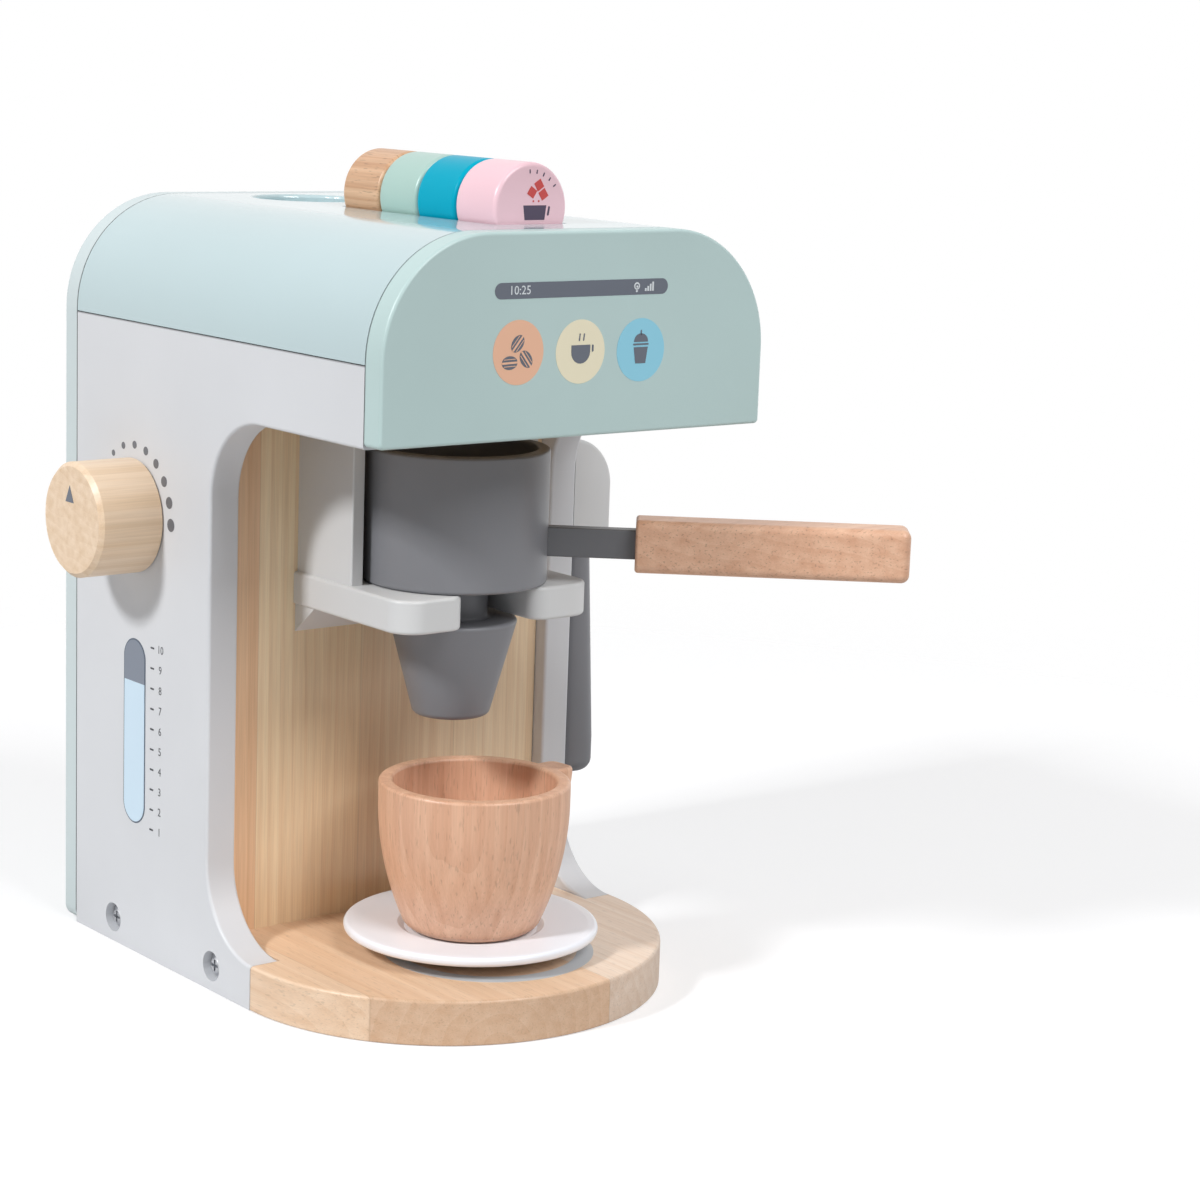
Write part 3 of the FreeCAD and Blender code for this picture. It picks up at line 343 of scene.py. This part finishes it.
def printed_ink(name, colour):
    """Screen-printed ink: one even colour, with a slight grain in its gloss."""
    finish, tree, surface, place = blank_finish(name, 0.4)
    surface.inputs["Base Color"].default_value = colour
    grain = mottle(tree, place, scale=2600.0, detail=2.0)
    raise_skin(tree, surface, grain, strength=0.05, depth=0.0001)
    return finish


def lay_print(piece, name, body, finish, turn, spot):
    """Turns a flat print to its board, moves it to its spot, and bakes the place into the mesh."""
    piece.name = name
    piece.data.name = name
    piece.matrix_world = Matrix.Translation(spot) @ turn
    bpy.ops.object.select_all(action="DESELECT")
    piece.select_set(True)
    bpy.context.view_layer.objects.active = piece
    bpy.ops.object.transform_apply(location=True, rotation=True, scale=True)
    piece.data.materials.clear()
    piece.data.materials.append(finish)
    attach(piece, body)
    piece.select_set(False)


def flat_circle(corners):
    """A flat filled circle, one metre wide, that the plates below are shaped from."""
    bpy.ops.object.select_all(action="DESELECT")
    bpy.ops.mesh.primitive_circle_add(vertices=corners, radius=0.5, fill_type="NGON")
    return bpy.context.object


def thicken(plate):
    """Gives the plate in edit mode the ink's thickness, with its face selected, and closes it."""
    bpy.ops.mesh.extrude_region_move(TRANSFORM_OT_translate={"value": (0, 0, ink)})
    bpy.ops.mesh.select_all(action="SELECT")
    bpy.ops.mesh.normals_make_consistent(inside=False)
    bpy.ops.object.mode_set(mode="OBJECT")
    return plate


def flat_disc(width, height, slide=0.0, corners=48):
    """A thin plate: an ellipse, or a bar with round ends where its halves slide apart along X."""
    plate = flat_circle(corners)
    bpy.ops.object.mode_set(mode="EDIT")
    bpy.ops.transform.resize(value=(width * mm, height * mm, 1.0))
    thicken(plate)
    if slide:
        for corner in plate.data.vertices:
            corner.co.x += slide * mm if corner.co.x > 0 else -slide * mm
    return plate


def flat_dash(width, slide):
    """A short printed stroke with round ends."""
    return flat_disc(width, width, slide, corners=16)


def flat_shape(corners):
    """A thin plate with straight sides: a circle's corners are moved to the given places."""
    plate = flat_circle(len(corners))
    for vertex, (x, y) in zip(plate.data.vertices, corners):
        vertex.co = (x * mm, y * mm, 0)
    bpy.ops.object.mode_set(mode="EDIT")
    bpy.ops.mesh.select_all(action="SELECT")
    return thicken(plate)


def flat_sign(words, tall):
    """Plain figures as a thin plate, centred on the origin."""
    bpy.ops.object.select_all(action="DESELECT")
    bpy.ops.object.text_add()
    sign = bpy.context.object
    sign.data.body = words
    sign.data.size = tall * mm
    sign.data.align_x = "CENTER"
    sign.data.align_y = "CENTER"
    sign.data.extrude = ink / 2
    sign.data.resolution_u = 3
    bpy.ops.object.convert(target="MESH")
    return bpy.context.object


def leaned(turn, lean):
    """A board's turn with the print leaned on it, in degrees."""
    return turn @ Matrix.Rotation(math.radians(lean), 4, "Z")


def front_spot(x, z, layer=0):
    """A place on the fascia's face, with each layer of ink in front of the one below."""
    return Vector((x * mm, fascia_low.y - layer * ink, z * mm))


to_front = Matrix.Rotation(math.pi / 2, 4, "X")
slate_ink = printed_ink("slate_ink", srgb(100, 106, 118))
white_ink = printed_ink("white_ink", srgb(222, 228, 232))
bar_rise = 255.9
bar_tall = 5.3
bar_long = 73.4
bar_middle = -0.4
screen = flat_disc(bar_tall, bar_tall, (bar_long - bar_tall) / 2)
lay_print(screen, "print_screen", "machine", slate_ink, to_front, front_spot(bar_middle, bar_rise))
clock_x = -26.8
clock_tall = 4.1
lay_print(flat_sign("10:25", clock_tall), "print_clock", "machine", white_ink, to_front,
          front_spot(clock_x, bar_rise, 1))
signal_x = 26.5
signal_foot = bar_rise - 1.5
signal_step = 1.05
signal_half = 0.35
for place, tall in enumerate((1.0, 1.7, 2.4, 3.1)):
    stroke = flat_shape([(-signal_half, 0), (signal_half, 0), (signal_half, tall),
                         (-signal_half, tall)])
    lay_print(stroke, "print_signal_%d" % (place + 1), "machine", white_ink, to_front,
              front_spot(signal_x + place * signal_step, signal_foot, 1))
# Each disc of the fan sign has its width, its rise over the bar's middle, its ink and its layer.
fan_x = 22.6
fan_discs = (("fan", 2.5, 0.3, white_ink, 1), ("fan_gap", 1.5, 0.25, slate_ink, 2),
             ("fan_dot", 0.8, 0.1, white_ink, 3), ("fan_foot", 0.8, -1.4, white_ink, 1))
for name, wide, rise, finish, layer in fan_discs:
    lay_print(flat_disc(wide, wide, corners=24), "print_" + name, "machine", finish, to_front,
              front_spot(fan_x, bar_rise + rise, layer))

# Three round keys printed on the fascia in salmon, cream and sky blue.
# Each holds a plain sign in slate ink: beans, a steaming cup and a tall glass.
key_wide = 20.8
key_tall = 21.4
key_inks = {"beans": srgb(238, 188, 158), "cup": srgb(240, 232, 204), "glass": srgb(146, 210, 232)}
key_places = {"beans": (-26.8, 235.7), "cup": (-0.8, 235.0), "glass": (25.3, 234.6)}
for key, colour in key_inks.items():
    lay_print(flat_disc(key_wide, key_tall, corners=72), "print_key_" + key, "machine",
              printed_ink("key_ink_" + key, colour), to_front, front_spot(*key_places[key]))


def key_mark(plate, key, name, x, z, lean=0.0, layer=1, finish=slate_ink):
    """One part of a key's sign, placed from the key's centre and leaned in degrees."""
    middle_x, middle_z = key_places[key]
    lay_print(plate, "print_%s_%s" % (key, name), "machine", finish, leaned(to_front, lean),
              front_spot(middle_x + x, middle_z + z, layer))


def arc_points(across, deep, rise, way):
    """Corners of half an ellipse, from right to left, above its middle or below it."""
    turns = [math.radians(turn) for turn in range(0, 181, 15)]
    return [(across * math.cos(turn), rise + way * deep * math.sin(turn)) for turn in turns]


# A bean has a wide crease in its middle and a thin one on each side, each with its width,
# how far it lies from the middle, and half the length between its round ends.
salmon = bpy.data.materials["key_ink_beans"]
bean_long = 6.4
bean_wide = 4.5
bean_spots = ((-0.4, 2.9, 50), (-3.5, -3.3, 2), (3.2, -2.3, -52))
creases = ((0.7, 0.0, 2.9), (0.22, 1.15, 2.3), (0.22, -1.15, 2.3))
for bean, (x, z, lean) in enumerate(bean_spots):
    key_mark(flat_disc(bean_long, bean_wide, corners=32), "beans", "bean_%d" % (bean + 1),
             x, z, lean)
    side = math.radians(lean)
    for crease, (wide, shift, half) in enumerate(creases):
        key_mark(flat_dash(wide, half), "beans", "crease_%d_%d" % (bean + 1, crease + 1),
                 x - shift * math.sin(side), z + shift * math.cos(side), lean, 2, salmon)
bowl_half = 4.0
bowl_brim = 2.2
bowl_deep = 3.9
bowl = [(-bowl_half, bowl_brim), (bowl_half, bowl_brim)]
bowl += arc_points(bowl_half, bowl_deep, -0.1, -1)
key_mark(flat_shape(bowl), "cup", "bowl", 0.1, 0)
key_mark(flat_dash(0.8, 0.8), "cup", "handle_side", 5.2, 1.0, 90)
for plume, x in enumerate((-0.5, 1.3)):
    key_mark(flat_dash(0.55, 1.0), "cup", "steam_%d" % (plume + 1), x, 4.8, 82)
glass_half = 3.1
glass_foot = 2.2
glass_tall = 5.5
lid_rise = 2.9
glass_body = [(-glass_half, 0), (-glass_foot, -glass_tall), (glass_foot, -glass_tall),
              (glass_half, 0)]
key_mark(flat_shape(arc_points(glass_half, lid_rise, 0, 1)), "glass", "lid", 0, 2.7)
key_mark(flat_dash(0.6, glass_half), "glass", "rim", 0, 1.9)
key_mark(flat_dash(0.55, 0.6), "glass", "straw", 0, 5.9, 90)
key_mark(flat_shape(glass_body), "glass", "body", 0, 0.95)

# Dial round the knob: eleven dots printed on the left board in grey ink.
# They stand on an arc round the knob's axis and swell from the back to the front.
knob_low, knob_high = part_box("knob")
dial_y = (knob_low.y + knob_high.y) / 2
dial_z = (knob_low.z + knob_high.z) / 2
dial_reach = 25.4 * mm
dial_step = 18
dial_dots = 11
dot_first = 1.7
dot_growth = 0.15
to_left = Matrix.Rotation(-math.pi / 2, 4, "Z") @ Matrix.Rotation(math.pi / 2, 4, "X")
dot_ink = printed_ink("dot_ink", srgb(104, 106, 112))
for place in range(dial_dots):
    angle = math.radians(dial_step * place - 90)
    dot = dot_first + dot_growth * place * (1 + 0.1 * place)
    dot_spot = Vector((board_low.x, dial_y - dial_reach * math.sin(angle),
                       dial_z + dial_reach * math.cos(angle)))
    lay_print(flat_disc(dot, dot, corners=32), "print_dial_dot_%d" % (place + 1), "machine",
              dot_ink, to_left, dot_spot)

# Pointer: a small triangle printed on the knob's face in slate ink.
# It points up, and it turns with the knob.
pointer_half = 2.9
pointer_tall = 3.0
pointer_shift = 1.4
pointer_rise = 172.4
pointer = flat_shape([(-pointer_half, -pointer_tall), (pointer_half, -pointer_tall),
                      (0, pointer_tall)])
lay_print(pointer, "print_pointer", "knob", slate_ink, to_left,
          Vector((knob_low.x, dial_y + pointer_shift * mm, pointer_rise * mm)))


def left_spot(y, z, layer=0):
    """A place on the left board's face, with each layer of ink in front of the one below."""
    return Vector((board_low.x - layer * ink, y * mm, z * mm))


# Water gauge printed on the left board: a slate outline with round ends.
# Pale blue water fills it to a level, and a lighter slate stands above.
gauge_wide = 15.3
gauge_low = 49.0
gauge_high = 118.0
gauge_level = 102.0
gauge_line = 0.55
gauge_y = 54.6
gauge_half = (gauge_high - gauge_low - gauge_wide) / 2
gauge_middle = (gauge_high + gauge_low) / 2
upright = leaned(to_left, 90)
outline_ink = printed_ink("outline_ink", srgb(84, 96, 112))
lay_print(flat_disc(gauge_wide, gauge_wide, gauge_half), "print_gauge_outline", "machine",
          outline_ink, upright, left_spot(gauge_y, gauge_middle))
inner_wide = gauge_wide - 2 * gauge_line
for name, colour, above in (("water", srgb(204, 226, 242), False),
                            ("empty", srgb(124, 132, 146), True)):
    fill = flat_disc(inner_wide, inner_wide, gauge_half)
    bpy.ops.object.mode_set(mode="EDIT")
    bpy.ops.mesh.select_all(action="SELECT")
    bpy.ops.mesh.bisect(plane_co=((gauge_level - gauge_middle) * mm, 0, 0), plane_no=(1, 0, 0),
                        use_fill=True, clear_inner=above, clear_outer=not above)
    bpy.ops.mesh.select_all(action="SELECT")
    bpy.ops.mesh.normals_make_consistent(inside=False)
    bpy.ops.object.mode_set(mode="OBJECT")
    lay_print(fill, "print_gauge_" + name, "machine", printed_ink(name + "_ink", colour), upright,
              left_spot(gauge_y, gauge_middle, 1))

# Scale beside the gauge: ten short ticks printed in black ink, at even steps.
# Each has a small plain figure beside it, from one to ten.
scale_low = 49.2
scale_step = 7.5
tick_y = 42.3
tick_wide = 0.7
tick_half = 0.9
figure_y = 36.8
figure_tall = 4.2
black_ink = printed_ink("black_ink", srgb(58, 60, 66))
for place in range(10):
    rise = scale_low + place * scale_step
    tick = flat_disc(tick_wide, tick_wide, tick_half, corners=12)
    lay_print(tick, "print_tick_%d" % (place + 1), "machine", black_ink, to_left,
              left_spot(tick_y, rise))
    figure = flat_sign(str(place + 1), figure_tall)
    lay_print(figure, "print_figure_%d" % (place + 1), "machine", black_ink, to_left,
              left_spot(figure_y, rise))

# Ring printed on the base plate's top: a pale grey band that shows where the saucer stands.
# It is a flat plate with a round hole, as thin as the other prints.
ring_radius = 38
ring_wide = 6
ring_x = 1.0
ring_y = -53.5
base_low, base_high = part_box("base_plate")
bpy.ops.object.select_all(action="DESELECT")
bpy.ops.mesh.primitive_circle_add(vertices=96, radius=ring_radius * mm, fill_type="NGON")
band = bpy.context.object
bpy.ops.object.mode_set(mode="EDIT")
bpy.ops.mesh.inset(thickness=ring_wide * mm)
bpy.ops.mesh.delete(type="FACE")
bpy.ops.mesh.select_all(action="SELECT")
thicken(band)
lay_print(band, "print_base_ring", "machine", printed_ink("ring_ink", srgb(186, 190, 194)),
          Matrix.Identity(4), Vector((ring_x * mm, ring_y * mm, base_high.z)))

# Print on the pink capsule's face: three red lozenges and two crumbs above a small dark mug.
# Five short dashes stand in an arc over them. All are plain shapes in two inks.
pod_low, pod_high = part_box("pod_pink")
pod_middle = (pod_low + pod_high) / 2
red_ink = printed_ink("red_ink", srgb(200, 72, 70))
plum_ink = printed_ink("plum_ink", srgb(74, 62, 84))


def pod_mark(plate, name, x, z, lean, finish):
    """One part of the capsule's print, placed from the machine's middle and the capsule's axis."""
    lay_print(plate, "print_pod_" + name, "pod_pink", finish, leaned(to_front, lean),
              Vector((x * mm, pod_low.y, pod_middle.z + z * mm)))


red_half = 1.55
red_spots = ((3.2, 7.8, 33), (0.3, 5.4, 57), (5.1, 4.7, 33))
for place, (x, z, lean) in enumerate(red_spots):
    lozenge = flat_shape([(-red_half, -red_half), (red_half, -red_half), (red_half, red_half),
                          (-red_half, red_half)])
    pod_mark(lozenge, "lozenge_%d" % (place + 1), x, z, lean, red_ink)
crumb_wide = 0.7
crumb_rise = 2.4
for place, x in enumerate((0.9, 3.2)):
    pod_mark(flat_disc(crumb_wide, crumb_wide, corners=16), "crumb_%d" % (place + 1),
             x, crumb_rise, 0, red_ink)
mug_half = 4.9
mug_foot = 4.2
mug_top = 2.4
mug_bottom = -2.5
mug = [(-mug_half, mug_top), (-mug_foot, mug_bottom), (mug_foot, mug_bottom), (mug_half, mug_top)]
pod_mark(flat_shape(mug), "mug", 1.6, -1.4, 0, plum_ink)
pod_mark(flat_dash(0.8, 1.2), "mug_handle", 7.5, -0.9, 80, plum_ink)
arc_reach = 12.4
arc_start = 94
arc_step = 14
for place in range(5):
    lean = arc_start - arc_step * place
    angle = math.radians(lean)
    pod_mark(flat_disc(0.5, 0.5, 0.45, corners=12), "arc_%d" % (place + 1),
             arc_reach * math.cos(angle), arc_reach * math.sin(angle), lean, plum_ink)

# Stage: a pale round floor that fades into a white surround, two soft lamps and two fills.
# The floor keeps the object's shadow, and is seen white where nothing shades it.
floor_radius = 1.2
floor_gap = 0.0002
bpy.ops.object.select_all(action="DESELECT")
bpy.ops.mesh.primitive_circle_add(vertices=96, radius=floor_radius, fill_type="NGON",
                                  location=(0, 0, base_low.z - floor_gap))
floor = bpy.context.object
floor.name = "floor"
floor_white, floor_tree, floor_shader, floor_place = blank_finish("floor_white", 0.9)
floor_bounce = (0.7, 0.7, 0.7, 1.0)
floor_seen = (0.6, 0.6, 0.61, 1.0)
floor_lift = 0.45
fade_start = 0.35
fade_end = 0.8
pure_white = (1.0, 1.0, 1.0, 1.0)
sight = add_step(floor_tree, "LightPath").outputs["Is Camera Ray"]
floor_tone = blend(floor_tree, sight, floor_bounce, floor_seen)
floor_tree.links.new(floor_tone, floor_shader.inputs["Base Color"])
lift = reckon(floor_tree, "MULTIPLY", sight, floor_lift)
shine = add_step(floor_tree, "Emission", [("Color", pure_white), ("Strength", lift)])
lit = add_step(floor_tree, "AddShader", [(0, floor_shader.outputs[0]), (1, shine.outputs[0])])
reach = add_step(floor_tree, "VectorMath", [(0, floor_place)], operation="LENGTH")
fade = add_step(floor_tree, "MapRange", [("Value", reach.outputs["Value"]),
                                         ("From Min", fade_start), ("From Max", fade_end)],
                interpolation_type="SMOOTHSTEP")
clear = add_step(floor_tree, "BsdfTransparent")
edge = add_step(floor_tree, "MixShader",
                [(0, fade.outputs[0]), (1, lit.outputs[0]), (2, clear.outputs[0])])
floor_tree.links.new(edge.outputs[0], floor_tree.nodes["Material Output"].inputs["Surface"])
floor.data.materials.append(floor_white)

lamp_aim = Vector((0, 0, 0.13))


def soft_lamp(name, spot, wide, power, mirrored=True):
    """A square soft box aimed at the object's middle. One that only fills isn't mirrored."""
    lamp = bpy.data.lights.new(name, "AREA")
    lamp.shape = "SQUARE"
    lamp.size = wide
    lamp.energy = power
    holder = bpy.data.objects.new(name, lamp)
    bpy.context.scene.collection.objects.link(holder)
    holder.rotation_mode = "QUATERNION"
    holder.rotation_quaternion = (lamp_aim - Vector(spot)).to_track_quat("-Z", "Y")
    holder.location = spot
    holder.visible_glossy = mirrored


soft_lamp("lamp_left", (-1.757, 0.05, 1.454), wide=0.3, power=32.0)
soft_lamp("lamp_front", (0.15, -1.45, 1.5), wide=0.9, power=22.5)
soft_lamp("lamp_right", (1.8, 0.1, 0.6), wide=0.9, power=6.0, mirrored=False)
soft_lamp("lamp_rear", (-0.3, 1.8, 0.6), wide=0.9, power=7.0, mirrored=False)

# Surround: plain white where the camera or a reflection sees it.
# It is a weak even light for everything else.
surround_light = 0.2
world = bpy.data.worlds.new("surround")
bpy.context.scene.world = world
world.use_nodes = True
sky = world.node_tree
for old in list(sky.nodes):
    sky.nodes.remove(old)
paths = add_step(sky, "LightPath")
seen = reckon(sky, "MAXIMUM", paths.outputs["Is Camera Ray"], paths.outputs["Is Glossy Ray"])
seen = reckon(sky, "MAXIMUM", seen, paths.outputs["Is Transmission Ray"])
glow = add_step(sky, "Background", [("Color", pure_white), ("Strength", surround_light)])
white = add_step(sky, "Background", [("Color", pure_white), ("Strength", 1.0)])
either = add_step(sky, "MixShader", [(0, seen), (1, glow.outputs[0]), (2, white.outputs[0])])
add_step(sky, "OutputWorld", [("Surface", either.outputs[0])])

# Camera: at the photograph's place and angle, with a long lens.
# Its heading, dip and tilt are in radians, from looking level along Y.
eye = Vector((-0.6041, -0.8424, 0.3377))
heading = 0.6902
dip = 0.192
tilt = 0.0371
aim = Vector((math.sin(heading) * math.cos(dip), math.cos(heading) * math.cos(dip), -math.sin(dip)))
flat_right = Vector((math.cos(heading), -math.sin(heading), 0))
flat_up = flat_right.cross(aim)
right = flat_right * math.cos(tilt) + flat_up * math.sin(tilt)
up = flat_up * math.cos(tilt) - flat_right * math.sin(tilt)
lens = bpy.data.cameras.new("camera")
lens.sensor_width = 36.0
lens.lens = 86.8
lens.clip_start = 0.05
lens.clip_end = 40.0
camera = bpy.data.objects.new("camera", lens)
bpy.context.scene.collection.objects.link(camera)
camera.matrix_world = Matrix.Translation(eye) @ Matrix((right, up, -aim)).transposed().to_4x4()
bpy.context.scene.camera = camera

bpy.context.scene.view_settings.view_transform = "Standard"
